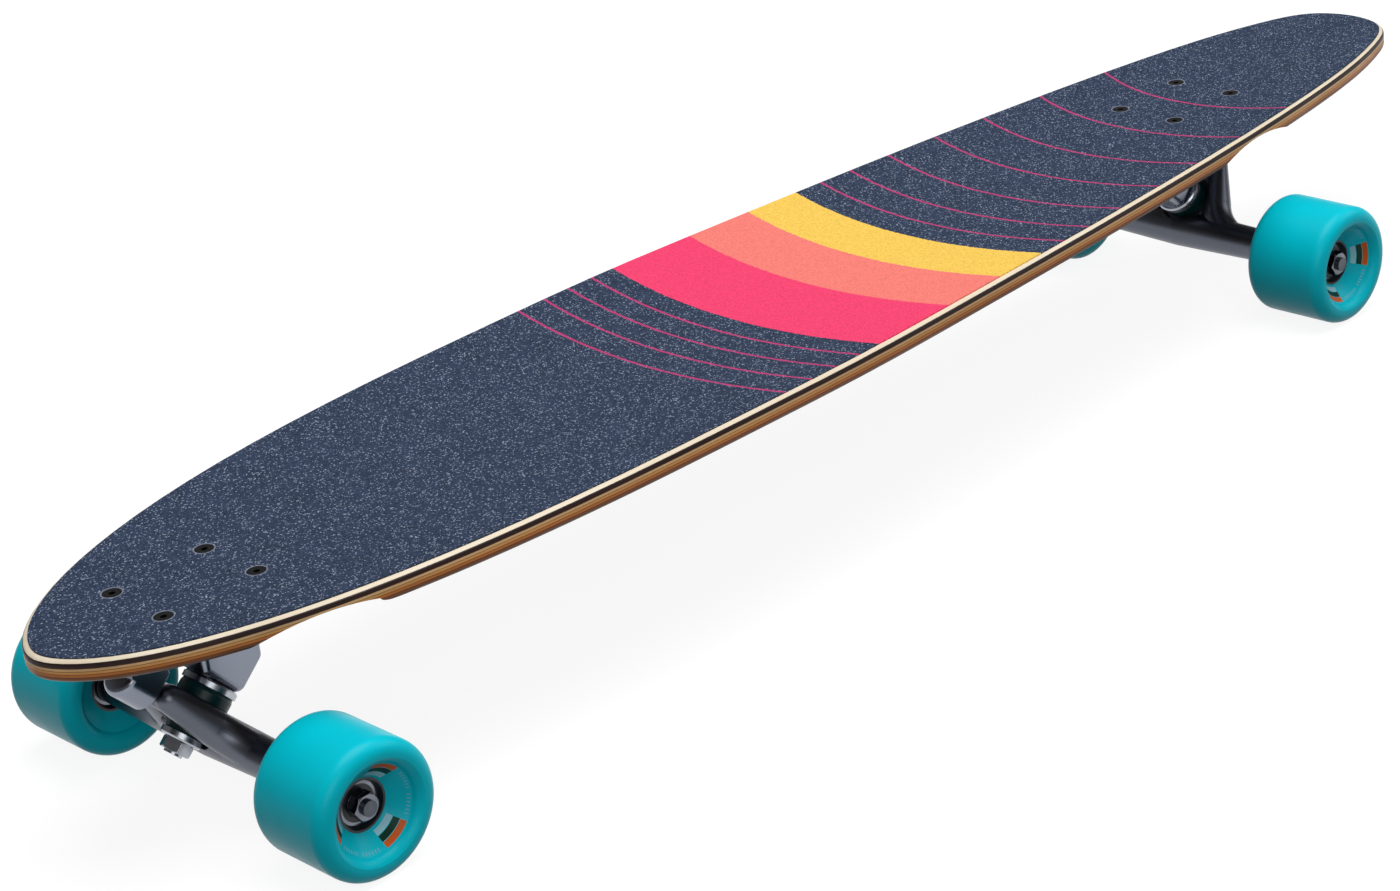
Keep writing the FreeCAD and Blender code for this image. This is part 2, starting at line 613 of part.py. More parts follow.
def inner_race(start, axis):
    blank = ring(INNER_LAND_RADIUS, BEARING_BORE_RADIUS, start, BEARING_WIDTH, axis)
    return blank.cut(ball_groove(start + BEARING_WIDTH / 2, axis))


def outer_race(start, axis):
    end = start + BEARING_WIDTH
    step = SHIELD_RECESS + SHIELD_THICKNESS
    blank = revolve([(SHIELD_RADIUS, start), (BEARING_RADIUS, start), (BEARING_RADIUS, end),
                     (SHIELD_RADIUS, end), (SHIELD_RADIUS, end - step), (OUTER_LAND_RADIUS, end - step),
                     (OUTER_LAND_RADIUS, start + step), (SHIELD_RADIUS, start + step)], axis)
    return blank.cut(ball_groove(start + BEARING_WIDTH / 2, axis))


def shields(start, axis):
    inner = INNER_LAND_RADIUS + SHIELD_CLEARANCE
    far_side = start + BEARING_WIDTH - SHIELD_RECESS - SHIELD_THICKNESS
    return [ring(SHIELD_RADIUS, inner, place, SHIELD_THICKNESS, axis)
            for place in (start + SHIELD_RECESS, far_side)]


def ball_centres(start, side):
    middle = side * (start + BEARING_WIDTH / 2)
    turns = [2 * math.pi * number / BALL_COUNT for number in range(BALL_COUNT)]
    return [Vector(BALL_PITCH * math.cos(turn), middle, BALL_PITCH * math.sin(turn)) for turn in turns]


def balls(start, side):
    return [Part.makeSphere(BALL_RADIUS, centre) for centre in ball_centres(start, side)]


def cage(start, side):
    """Crown cage: a ring with a ball pocket open to one side at each ball."""
    middle = start + BEARING_WIDTH / 2
    outside = BALL_PITCH + CAGE_HALF_WALL
    blank = ring(outside, BALL_PITCH - CAGE_HALF_WALL, middle - CAGE_OPEN, CAGE_OPEN + CAGE_BACK, Y * side)
    hub = Y * (side * middle)
    pockets = [Part.makeCylinder(BALL_RADIUS + BALL_CLEARANCE, 2 * outside, hub, centre - hub)
               for centre in ball_centres(start, side)]
    return blank.cut(pockets)


def dish(lip_y, floor_y):
    """Points and edge curve of one dished wheel face, from the tread to the core, as (radius, y)."""
    inward = math.copysign(1.0, floor_y - lip_y)
    crest = WHEEL_RADIUS - LIP_ROUND
    land = crest - LIP_LAND
    bend = LIP_ROUND * math.sqrt(0.5)
    curve_end = (land - DISH_CURVE_WIDTH, lip_y + inward * DISH_CURVE_DEPTH)
    curve_middle = (land - DISH_CURVE_WIDTH * DISH_CURVE_BULGE,
                    lip_y + inward * DISH_CURVE_DEPTH * (1 - DISH_CURVE_BULGE))
    return {"tread": (WHEEL_RADIUS, lip_y + inward * LIP_ROUND),
            "round": (crest + bend, lip_y + inward * (LIP_ROUND - bend)),
            "crest": (crest, lip_y), "land": (land, lip_y),
            "bend": curve_middle, "bend_end": curve_end, "floor": (CORE_RADIUS, floor_y)}


def core_ends():
    return (WHEEL_INNER_LIP + DISH_INNER_DEPTH, WHEEL_INNER_LIP + WHEEL_WIDTH - DISH_OUTER_DEPTH)


def dish_edges(points):
    """Edges of one dished face, in order from the tread to the core."""
    spot = {name: Vector(radius, 0, y) for name, (radius, y) in points.items()}
    return [Part.Arc(spot["tread"], spot["round"], spot["crest"]).toShape(),
            Part.makeLine(spot["crest"], spot["land"]),
            Part.Arc(spot["land"], spot["bend"], spot["bend_end"]).toShape(),
            Part.makeLine(spot["bend_end"], spot["floor"])]


def tyre(side):
    """Cast urethane: rounded lips and a dished face on both sides, about the core."""
    inner_floor, outer_floor = core_ends()
    inner = dish(WHEEL_INNER_LIP, inner_floor)
    outer = dish(WHEEL_INNER_LIP + WHEEL_WIDTH, outer_floor)
    edges = dish_edges(inner) + dish_edges(outer)
    for name in ("tread", "floor"):
        ends = [Vector(face[name][0], 0, face[name][1]) for face in (inner, outer)]
        edges.append(Part.makeLine(*ends))
    solid = Part.Face(Part.Wire(Part.__sortEdges__(edges))).revolve(ORIGIN, Z, 360)
    solid.Placement = FreeCAD.Placement(ORIGIN, FreeCAD.Rotation(Z, Y * side))
    return solid


def wheel_core(side):
    """Moulded hub: two bearing seats with a shoulder between them and a flared mouth at each end."""
    low, high = core_ends()
    seat_start, seat_end = INNER_BEARING_Y, OUTER_BEARING_Y + BEARING_WIDTH
    mouth = BEARING_RADIUS + CORE_CHAMFER
    shoulder_start, shoulder_end = INNER_BEARING_Y + BEARING_WIDTH, OUTER_BEARING_Y
    return revolve([(CORE_RADIUS, low), (CORE_RADIUS, high), (mouth, high), (BEARING_RADIUS, seat_end),
                    (BEARING_RADIUS, shoulder_end), (CORE_SHOULDER_RADIUS, shoulder_end),
                    (CORE_SHOULDER_RADIUS, shoulder_start), (BEARING_RADIUS, shoulder_start),
                    (BEARING_RADIUS, seat_start), (mouth, low)], Y * side)


# Nodes

def deck_nodes():
    nodes = {"grip_tape": grip_tape()}
    blank = deck_blank()
    for name, depths in plies().items():
        nodes[name] = group([layer(blank, top, bottom) for top, bottom in depths])
    nodes["mounting_bolts"] = group([mounting_bolt(x, y) for x, y in bolt_places()])
    nodes["mounting_nuts"] = group([mounting_nut(x, y) for x, y in bolt_places()])
    return nodes


def truck_nodes():
    """One truck's nodes in the upright frame."""
    races = [inner_race(start, Y * side) for side in SIDES.values() for start in BEARING_STARTS]
    return {"baseplate": baseplate(), "pivot_cup": pivot_cup(),
            "kingpin": kingpin(), "kingpin_nut": kingpin_nut(),
            "boardside_washer": boardside_washer(), "boardside_bushing": boardside_bushing(),
            "roadside_bushing": roadside_bushing(), "roadside_washer": roadside_washer(),
            "hanger": hanger(), "axle": axle(), "axle_nuts": axle_nuts(),
            "speed_washers": speed_washers(), "bearing_spacers": bearing_spacers(),
            "bearing_inner_races": group(races)}


def wheel_nodes(side):
    """One wheel's nodes about the axle, on the left (1) or right (-1) of an upright frame."""
    axis = Y * side
    return {"tyre": tyre(side), "wheel_core": wheel_core(side),
            "bearing_outer_races": group([outer_race(start, axis) for start in BEARING_STARTS]),
            "bearing_shields": group([part for start in BEARING_STARTS for part in shields(start, axis)]),
            "bearing_balls": group([ball for start in BEARING_STARTS for ball in balls(start, side)]),
            "bearing_cages": group([cage(start, side) for start in BEARING_STARTS])}


def all_nodes():
    nodes = deck_nodes()
    truck = truck_nodes()
    for end in AXLES:
        for name, shape in truck.items():
            nodes[f"{end}_{name}"] = at_truck(shape, end)
        for hand, side in SIDES.items():
            for name, shape in wheel_nodes(side * FACING[end]).items():
                nodes[f"{end}_{hand}_{name}"] = at_truck(shape, end)
    return nodes


os.makedirs("parts", exist_ok=True)
for node_name, node_shape in all_nodes().items():
    node_shape.exportStep(f"parts/{node_name}.step")
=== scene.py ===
"""Looks of a pintail longboard: printed grip tape, maple plies, coated trucks and urethane wheels.

Metres, in the frame of the solids: +X to the nose, +Y to the rider's left, +Z up, floor at zero.
Colours are sRGB, 0 to 255. Every material is procedural and reads object coordinates, which turn
with the piece.
"""
import json
import math

import bpy
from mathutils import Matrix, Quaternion, Vector


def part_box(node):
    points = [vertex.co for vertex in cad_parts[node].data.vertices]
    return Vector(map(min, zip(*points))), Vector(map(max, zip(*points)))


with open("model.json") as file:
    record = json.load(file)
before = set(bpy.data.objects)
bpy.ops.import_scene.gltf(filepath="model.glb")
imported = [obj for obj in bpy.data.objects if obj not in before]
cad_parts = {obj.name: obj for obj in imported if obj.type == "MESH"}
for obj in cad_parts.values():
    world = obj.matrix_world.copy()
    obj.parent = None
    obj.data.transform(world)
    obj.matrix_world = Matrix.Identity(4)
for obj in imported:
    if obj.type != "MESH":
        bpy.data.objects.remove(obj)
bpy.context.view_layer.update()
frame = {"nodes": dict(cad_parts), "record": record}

MM = 0.001
ENDS = ("front", "rear")
WHITE = (255, 255, 255)
BEVEL_SAMPLES = 4

# Camera, fitted to the photograph
CAMERA_PLACE = Vector((1.1597, 1.2055, 0.7908))
CAMERA_TARGET = Vector((0.1018, 0.0120, 0.0614))
CAMERA_ROLL = math.radians(-6.98)
CAMERA_LENS, SENSOR_WIDTH = 84.91, 36.0

# Studio: lamps in watts, and a floor that keeps the shadow near the object and is white beyond it
LAMPS = {
    "overhead_softbox": {"place": (-0.2, 0.2, 2.6), "size": 2.2, "power": 66.0},
    "camera_side_softbox": {"place": (1.9, 2.6, 1.5), "size": 1.8, "power": 22.0},
    "tail_softbox": {"place": (-2.2, 1.2, 1.6), "size": 1.6, "power": 14.0},
}
LAMP_TARGET = Vector((0.05, 0.0, 0.08))
WORLD_STRENGTH = 0.19
FLOOR_HALF = 6.0
FLOOR_COLOUR, FLOOR_BOUNCE_COLOUR = (236, 236, 236), (84, 84, 86)
FLOOR_GLOW, FLOOR_GLOW_SHARE = 1.12, 0.8
SHADOW_REACH, WHITE_FROM = 0.9, 2.4

# Ranges that the values of a noise mostly fall in
NOISE_RANGE, NOISE_MIDDLE = (0.3, 0.7), (0.35, 0.65)

# Grip tape: navy grit, with painted glints on some grains
GRIT_SIZE = 0.62 * MM
NAVY_DARK, NAVY_LIGHT = (16, 25, 43), (58, 73, 100)
GRAIN_SHARE, PATCH_SHARE = 0.75, 0.35
PATCH_NOISE = {"scale": 60.0, "detail": 4.0}
PAINTED_GLINT_COLOUR, PAINTED_GLINT_SHARE = (176, 188, 208), 0.7
GLINT_RANGE = (0.9, 0.98)
GRIT_ROUGHNESS, GLINT_ROUGHNESS = 0.82, 0.45
GRAIN_REACH = 0.7
GRIT_BUMP = {"strength": 0.4, "distance": 0.2 * MM}
GRIT_SHADER = {"Specular IOR Level": 0.2}

# Print on the grip tape: arcs about a point near the tail
ARC_CENTRE_X = -470 * MM
BANDS = (
    {"from": 392.5 * MM, "to": 429 * MM, "colour": (254, 208, 92)},
    {"from": 429 * MM, "to": 473 * MM, "colour": (255, 132, 122)},
    {"from": 473 * MM, "to": 530 * MM, "colour": (252, 68, 116)},
)
BAND_DARKEST = 0.86
PINSTRIPES = [radius * MM for radius in (146, 198, 244, 283, 320, 350, 373, 545.4, 562.7, 580.5, 599)]
PINSTRIPE_WIDTH = 1.5 * MM
PINSTRIPE_COLOUR, PINSTRIPE_SHARE = (196, 58, 118), 0.85
PRINT_EDGE_WANDER, WANDER_SCALE = 0.7 * MM, 0.4 / GRIT_SIZE

# Truck bolts, as drilled through the tape
BOLT_SPACING_LONG, BOLT_SPACING_WIDE = 53.98 * MM, 41.28 * MM
TAPE_HOLE_RADIUS, TAPE_RIM = 4.95 * MM, 0.9 * MM
TAPE_RIM_COLOUR, TAPE_RIM_SHARE = (150, 156, 172), 0.8

# Deck plies, by depth below the concave top
DECK_HALF_WIDTH, CONCAVE_RISE = 104.8 * MM, 4.6 * MM
CORE_TOP, CORE_PLY = 3.6 * MM, 1.5 * MM
# Ply tones step from pale at the top to dark at the bottom: partly the plies' own tones, partly painted
# highlight on the upper plies and painted shade on the lower ones
CORE_TONES_WITH_PAINTED_SHADE = ((250, 200, 142), (244, 174, 100), (210, 126, 58), (140, 80, 36))
CORE_COAT, CORE_GRAIN_SHARE = 0.15, 0.36
GLUE_LINE = 0.3 * MM
GLUE_COLOUR, GLUE_SHARE = (58, 28, 14), 0.8
STAIN_COLOUR = (34, 18, 15)
VENEERS = {
    "face_wood": {"pale": (236, 224, 202), "dark": (220, 202, 174), "coat": 0.15, "stain_top": 1.2 * MM},
    "dark_wood": {"pale": (46, 24, 20), "dark": (26, 14, 12), "coat": 0.05},
    # The bottom ply is darker than its wood: painted shade for the deck's shadowed lower edge and
    # underside
    "bottom_wood": {"pale": (82, 46, 22), "dark": (52, 28, 14), "coat": 0.0},
}

# Wood under lacquer: noises drawn out along the board
LONG_GRAIN = {"scale": 30.0, "detail": 6.0, "roughness": 0.62, "stretch": (0.12, 1.6, 5.0)}
LONG_GRAIN_RANGE, LONG_GRAIN_SHARE = (0.32, 0.68), 0.7
GROWTH = {"scale": 9.0, "detail": 3.0, "stretch": (0.3, 2.4, 1.0)}
PORES = {"scale": 700.0, "stretch": (0.05, 1.0, 1.0)}
PORE_RANGE, PORE_SHARE = (0.62, 0.8), 0.5
PORE_BUMP = {"strength": 0.08, "distance": 0.1 * MM}
LACQUER_ROUGHNESS = (0.4, 0.54)
LACQUER_SHADER = {"Specular IOR Level": 0.2, "Coat Roughness": 0.2}

# Coated castings
CASTINGS = {
    "truck_metal": {"dark": (124, 129, 142), "pale": (140, 145, 158), "roughness": 0.2},
    # The hanger wears a darker copy of the coated truck metal: painted shade for the dark surroundings it
    # reflects
    "hanger_metal": {"dark": (88, 92, 101), "pale": (104, 108, 118), "roughness": 0.32},
}
CAST_CLOUD = {"scale": 35.0, "detail": 3.0}
CAST_SKIN = {"scale": 420.0, "detail": 3.0}
CAST_BUMP = {"strength": 0.08, "distance": 0.1 * MM}
CAST_EDGE = 0.8 * MM
CAST_ROUGHNESS_SPAN = 0.08
CAST_SHADER = {"Metallic": 1.0}

# Turned and plated steel
STEELS = {
    "steel": {"pale": (176, 180, 188), "dark": (140, 144, 150), "roughness": 0.2},
    # dark_steel and bearing_steel are darker copies of the plated steel: painted shade for the dark
    # surroundings they reflect
    "dark_steel": {"pale": (84, 88, 96), "dark": (62, 66, 72), "roughness": 0.25},
    "bearing_steel": {"pale": (118, 122, 130), "dark": (90, 94, 102), "roughness": 0.12},
    "bolt_black": {"pale": (26, 26, 28), "dark": (14, 14, 15), "roughness": 0.38, "metallic": 0.6},
}
STEEL_STAIN = {"scale": 120.0, "detail": 3.0}
STEEL_STAIN_RANGE = (0.35, 0.75)
TOOL_MARKS = {"scale": 1500.0, "stretch": (1.0, 0.25, 1.0)}
TOOL_BUMP = {"strength": 0.1, "distance": 0.05 * MM}
STEEL_EDGE = 0.35 * MM
STEEL_ROUGHNESS_SPAN = 0.1

# Moulded plastic, and the urethane of bushings and pivot cups
PLASTICS = {
    "bushing": {"pale": (0, 48, 50), "dark": (0, 36, 38), "roughness": 0.3, "specular": 0.25},
    "cup": {"pale": (30, 30, 31), "dark": (20, 20, 21), "roughness": 0.5},
    "core_plastic": {"pale": (26, 28, 36), "dark": (14, 15, 20), "roughness": 0.4},
    "shield": {"pale": (20, 22, 32), "dark": (12, 13, 20), "roughness": 0.35},
    "cage": {"pale": (196, 184, 150), "dark": (176, 164, 130), "roughness": 0.45},
}
PLASTIC_MOTTLE = {"scale": 90.0, "detail": 3.0}
MOULDED_SKIN = {"scale": 900.0}
PLASTIC_BUMP = {"strength": 0.08, "distance": 0.08 * MM}
PLASTIC_ROUGHNESS_SPAN = 0.08

# Wheels, and the print about the hub of their outer faces
TEAL_DEEP, TEAL_BRIGHT = (0, 190, 208), (0, 200, 218)
URETHANE_MOTTLE = {"scale": 60.0, "detail": 3.0}
URETHANE_BUMP = {"strength": 0.05, "distance": 0.05 * MM}
URETHANE_ROUGHNESS = (0.3, 0.36)
URETHANE_SHADER = {"Specular IOR Level": 0.12}
PRINT_BARS = (
    {"from": 19.8 * MM, "to": 22.2 * MM, "colour": (214, 96, 36)},
    {"from": 17.2 * MM, "to": 19.6 * MM, "colour": (8, 56, 40)},
    {"from": 14.6 * MM, "to": 17.0 * MM, "colour": (160, 212, 226)},
)
PRINT_REPEATS = 3
BAR_HALF_TURN = math.radians(20)
TICKS = {"from": 20.4 * MM, "to": 21.7 * MM, "colour": (110, 190, 210)}
TICKS_PER_TURN, TICK_SHARE = 72, 0.4
TICK_START, TICK_END = math.radians(28), math.radians(58)
PRINT_FACE_Y = 100 * MM

# Kinds of piece that wear another finish than the rest of their material: darker copies of their metal,
# painted shade for the dark surroundings they reflect
OWN_FINISHES = {
    "hanger": "hanger_metal",
    "axle": "dark_steel",
    "axle_nuts": "bearing_steel",
    "speed_washers": "dark_steel",
}


def linear(colour):
    """A colour as the linear colour, with alpha, that sockets take, by the sRGB curve."""
    def channel(value):
        share = value / 255
        return share / 12.92 if share <= 0.04045 else ((share + 0.055) / 1.055) ** 2.4
    return tuple(channel(value) for value in colour) + (1.0,)


class Paint:
    """One material's node tree, with short ways to add its nodes."""

    def __init__(self, name):
        self.material = bpy.data.materials.new(name)
        self.material.use_nodes = True
        self.tree = self.material.node_tree
        self.tree.nodes.clear()
        self.place = self.node("ShaderNodeTexCoord").outputs["Object"]

    def put(self, socket, value):
        """Link a socket to another one, or set its value."""
        if isinstance(value, bpy.types.NodeSocket):
            self.tree.links.new(value, socket)
        else:
            socket.default_value = value

    def node(self, kind, inputs=None, **settings):
        made = self.tree.nodes.new(kind)
        for key, value in settings.items():
            setattr(made, key, value)
        for socket, value in (inputs or {}).items():
            self.put(made.inputs[socket], value)
        return made

    def math(self, operation, first, second=0.0, third=0.0):
        inputs = {0: first, 1: second, 2: third}
        return self.node("ShaderNodeMath", inputs, operation=operation).outputs[0]

    def axes(self, vector=None):
        return self.node("ShaderNodeSeparateXYZ", {0: vector or self.place}).outputs

    def vector(self, first, second):
        return self.node("ShaderNodeCombineXYZ", {0: first, 1: second}).outputs[0]

    def length(self, vector):
        return self.node("ShaderNodeVectorMath", {0: vector}, operation="LENGTH").outputs["Value"]

    def noise(self, scale, detail=2.0, roughness=0.5, stretch=None):
        """Noise, drawn out along an axis where the stretch is below one."""
        place = self.place
        if stretch:
            place = self.node("ShaderNodeMapping", {"Vector": place, "Scale": stretch}).outputs[0]
        inputs = {"Vector": place, "Scale": scale, "Detail": detail, "Roughness": roughness}
        return self.node("ShaderNodeTexNoise", inputs).outputs[0]

    def cells(self, scale):
        return self.node("ShaderNodeTexVoronoi", {"Vector": self.place, "Scale": scale}).outputs

    def spread(self, value, low, high, to_low=0.0, to_high=1.0):
        """A value's range from low to high as another range, and no further."""
        inputs = {0: value, 1: low, 2: high, 3: to_low, 4: to_high}
        return self.node("ShaderNodeMapRange", inputs).outputs[0]

    def mix(self, share, first, second):
        """The first colour, with a share of the second. Each is a colour or a socket."""
        made = self.node("ShaderNodeMix", {"Factor": share}, data_type="RGBA")
        for socket, colour in (("A", first), ("B", second)):
            is_socket = isinstance(colour, bpy.types.NodeSocket)
            self.put(made.inputs[socket], colour if is_socket else linear(colour))
        return made.outputs["Result"]

    def between(self, value, low, high):
        """One where a value lies between two limits, and zero elsewhere."""
        above = self.math("GREATER_THAN", value, low)
        return self.math("MULTIPLY", above, self.math("LESS_THAN", value, high))

    def largest(self, *values):
        most = values[0]
        for value in values[1:]:
            most = self.math("MAXIMUM", most, value)
        return most

    def soft_edges(self, radius):
        return self.node("ShaderNodeBevel", {"Radius": radius}, samples=BEVEL_SAMPLES).outputs[0]

    def bump(self, height, strength, distance, normal=None):
        inputs = {"Height": height, "Strength": strength, "Distance": distance}
        if normal:
            inputs["Normal"] = normal
        return self.node("ShaderNodeBump", inputs).outputs[0]

    def surface(self, colour, roughness, normal, constants):
        """The finished material, with its constants set on the shader's own sockets."""
        inputs = {"Base Color": colour, "Roughness": roughness, "Normal": normal, **constants}
        shader = self.node("ShaderNodeBsdfPrincipled", inputs)
        self.node("ShaderNodeOutputMaterial", {"Surface": shader.outputs[0]})
        return self.material


def hub(end):
    """Centre of one axle's left wheel at rest."""
    joints = frame["record"]["behaviour"]["joints"]
    return next(joint["pos_m"] for joint in joints if joint["name"] == f"{end}_left_wheel_spin")


# Deck

def bolt_hole_distance(paint, end):
    """Distance of a point of the tape from the nearest bolt of one truck."""
    x, y, _ = paint.axes()
    from_truck = paint.math("ABSOLUTE", paint.math("SUBTRACT", x, hub(end)[0]))
    along = paint.math("SUBTRACT", from_truck, BOLT_SPACING_LONG / 2)
    across = paint.math("SUBTRACT", paint.math("ABSOLUTE", y), BOLT_SPACING_WIDE / 2)
    return paint.length(paint.vector(along, across))


def arc_radius(paint):
    """Distance of a point of the tape from the middle of the printed arcs, with a little unevenness."""
    x, y, _ = paint.axes()
    radius = paint.length(paint.vector(paint.math("SUBTRACT", x, ARC_CENTRE_X), y))
    half = PRINT_EDGE_WANDER / 2
    wander = paint.spread(paint.noise(WANDER_SCALE), *NOISE_RANGE, -half, half)
    return paint.math("ADD", radius, wander)


def grip_finish():
    """Gritty tape: navy with painted glints on some grains, three bands, pinstripes and pale cut holes.
    """
    paint = Paint("grip")
    cells = paint.cells(1 / GRIT_SIZE)
    grain = paint.axes(cells["Color"])[0]
    patch = paint.math("MULTIPLY", paint.noise(**PATCH_NOISE), PATCH_SHARE)
    colour = paint.mix(paint.math("MULTIPLY_ADD", grain, GRAIN_SHARE, patch), NAVY_DARK, NAVY_LIGHT)
    # Painted glints: a pale colour on the brightest grains, standing for their sparkle
    colour = paint.mix(paint.spread(grain, *GLINT_RANGE, 0.0, PAINTED_GLINT_SHARE), colour, PAINTED_GLINT_COLOUR)
    radius = arc_radius(paint)
    for band in BANDS:
        dark = tuple(channel * BAND_DARKEST for channel in band["colour"])
        printed = paint.mix(grain, dark, band["colour"])
        colour = paint.mix(paint.between(radius, band["from"], band["to"]), colour, printed)
    for stripe in PINSTRIPES:
        on_line = paint.math("COMPARE", radius, stripe, PINSTRIPE_WIDTH / 2)
        colour = paint.mix(paint.math("MULTIPLY", on_line, PINSTRIPE_SHARE), colour, PINSTRIPE_COLOUR)
    hole = paint.math("MINIMUM", *[bolt_hole_distance(paint, end) for end in ENDS])
    rim = paint.spread(hole, TAPE_HOLE_RADIUS, TAPE_HOLE_RADIUS + TAPE_RIM, TAPE_RIM_SHARE, 0.0)
    colour = paint.mix(rim, colour, TAPE_RIM_COLOUR)
    roughness = paint.spread(grain, *GLINT_RANGE, GRIT_ROUGHNESS, GLINT_ROUGHNESS)
    height = paint.spread(cells["Distance"], 0.0, GRAIN_REACH, 1.0, 0.0)
    return paint.surface(colour, roughness, paint.bump(height, **GRIT_BUMP), GRIT_SHADER)


def ply_depth(paint):
    """Depth of a point of the deck below its concave top."""
    _, y, z = paint.axes()
    concave_radius = (DECK_HALF_WIDTH ** 2 + CONCAVE_RISE ** 2) / (2 * CONCAVE_RISE)
    deck_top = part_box("grip_tape")[0][2]
    rise = paint.math("DIVIDE", paint.math("MULTIPLY", y, y), 2 * concave_radius)
    return paint.math("SUBTRACT", paint.math("ADD", rise, deck_top), z)


def wood_figure(paint):
    """Long grain and growth rings along the board, and the pores in them."""
    grain = paint.spread(paint.noise(**LONG_GRAIN), *LONG_GRAIN_RANGE)
    growth = paint.spread(paint.noise(**GROWTH), *NOISE_RANGE)
    growth_share = paint.math("MULTIPLY", growth, 1 - LONG_GRAIN_SHARE)
    figure = paint.math("MULTIPLY_ADD", grain, LONG_GRAIN_SHARE, growth_share)
    return figure, paint.noise(**PORES)


def lacquered(paint, colour, figure, pores, coat):
    """Wood under clear lacquer, a little rougher where its figure is dark."""
    roughness = paint.spread(figure, *NOISE_RANGE, *LACQUER_ROUGHNESS)
    constants = {"Coat Weight": coat, **LACQUER_SHADER}
    return paint.surface(colour, roughness, paint.bump(pores, **PORE_BUMP), constants)


def veneer_finish(name, pale, dark, coat, stain_top=None):
    """Maple veneer, its edge stained from a depth on where one is given."""
    paint = Paint(name)
    figure, pores = wood_figure(paint)
    colour = paint.mix(figure, pale, dark)
    colour = paint.mix(paint.spread(pores, *PORE_RANGE, 0.0, PORE_SHARE), colour, dark)
    if stain_top:
        stained = paint.math("GREATER_THAN", ply_depth(paint), stain_top)
        colour = paint.mix(stained, colour, STAIN_COLOUR)
    return lacquered(paint, colour, figure, pores, coat)


def core_finish():
    """Edges of the inner plies: each ply has its own tone, pale at the top and darker downward, partly
    painted highlight and shade, with a dark line of glue above it.
    """
    paint = Paint("core_wood")
    figure, pores = wood_figure(paint)
    depth = ply_depth(paint)
    # Each ply's tone carries painted highlight or painted shade by its depth
    colour = CORE_TONES_WITH_PAINTED_SHADE[0]
    glue_lines = []
    for number, tone in enumerate(CORE_TONES_WITH_PAINTED_SHADE):
        top = CORE_TOP + CORE_PLY * number
        colour = paint.mix(paint.math("GREATER_THAN", depth, top), colour, tone)
        glue_lines.append(paint.math("COMPARE", depth, top, GLUE_LINE / 2))
    glue = paint.math("MULTIPLY", paint.largest(*glue_lines), GLUE_SHARE)
    shade = paint.largest(paint.math("MULTIPLY", figure, CORE_GRAIN_SHARE), glue)
    return lacquered(paint, paint.mix(shade, colour, GLUE_COLOUR), figure, pores, CORE_COAT)


# Trucks and hardware

def casting_finish(name, dark, pale, roughness):
    """Coated casting with a soft metallic sheen, a little uneven."""
    paint = Paint(name)
    cloud = paint.noise(**CAST_CLOUD)
    colour = paint.mix(cloud, dark, pale)
    gloss = paint.spread(cloud, *NOISE_RANGE, roughness, roughness + CAST_ROUGHNESS_SPAN)
    normal = paint.bump(paint.noise(**CAST_SKIN), **CAST_BUMP, normal=paint.soft_edges(CAST_EDGE))
    return paint.surface(colour, gloss, normal, CAST_SHADER)


def steel_finish(name, pale, dark, roughness, metallic=1.0):
    """Plated steel with fine tool marks and a few darker stains."""
    paint = Paint(name)
    stain = paint.noise(**STEEL_STAIN)
    colour = paint.mix(paint.spread(stain, *STEEL_STAIN_RANGE), pale, dark)
    gloss = paint.spread(stain, *NOISE_RANGE, roughness, roughness + STEEL_ROUGHNESS_SPAN)
    normal = paint.bump(paint.noise(**TOOL_MARKS), **TOOL_BUMP, normal=paint.soft_edges(STEEL_EDGE))
    return paint.surface(colour, gloss, normal, {"Metallic": metallic})


def plastic_finish(name, pale, dark, roughness, specular=0.5):
    """Moulded plastic or urethane with slight mottling and a fine skin."""
    paint = Paint(name)
    mottle = paint.noise(**PLASTIC_MOTTLE)
    colour = paint.mix(paint.spread(mottle, *NOISE_MIDDLE), pale, dark)
    gloss = paint.spread(mottle, *NOISE_RANGE, roughness, roughness + PLASTIC_ROUGHNESS_SPAN)
    normal = paint.bump(paint.noise(**MOULDED_SKIN), **PLASTIC_BUMP)
    return paint.surface(colour, gloss, normal, {"Specular IOR Level": specular})


# Wheels

def hub_print(paint, colour):
    """Bars and ticks, printed over a colour round the hub of each wheel's outer face."""
    x, y, z = paint.axes()
    front, rear = [hub(end) for end in ENDS]
    middle, reach = (front[0] + rear[0]) / 2, (front[0] - rear[0]) / 2
    along = paint.math("SUBTRACT", paint.math("ABSOLUTE", paint.math("SUBTRACT", x, middle)), reach)
    up = paint.math("SUBTRACT", z, front[2])
    radius = paint.length(paint.vector(along, up))
    turn = paint.math("ARCTAN2", up, along)
    half_sector = math.pi / PRINT_REPEATS
    from_bar = paint.math("ABSOLUTE", paint.math("WRAP", turn, half_sector, -half_sector))
    outside = paint.math("GREATER_THAN", paint.math("ABSOLUTE", y), PRINT_FACE_Y)
    on_bars = paint.math("MULTIPLY", outside, paint.math("LESS_THAN", from_bar, BAR_HALF_TURN))
    for bar in PRINT_BARS:
        share = paint.math("MULTIPLY", on_bars, paint.between(radius, bar["from"], bar["to"]))
        colour = paint.mix(share, colour, bar["colour"])
    tick = paint.math("FRACT", paint.math("MULTIPLY", turn, TICKS_PER_TURN / math.tau))
    tick = paint.math("MULTIPLY", paint.math("LESS_THAN", tick, TICK_SHARE), outside)
    tick = paint.math("MULTIPLY", tick, paint.between(from_bar, TICK_START, TICK_END))
    tick = paint.math("MULTIPLY", tick, paint.between(radius, TICKS["from"], TICKS["to"]))
    return paint.mix(tick, colour, TICKS["colour"])


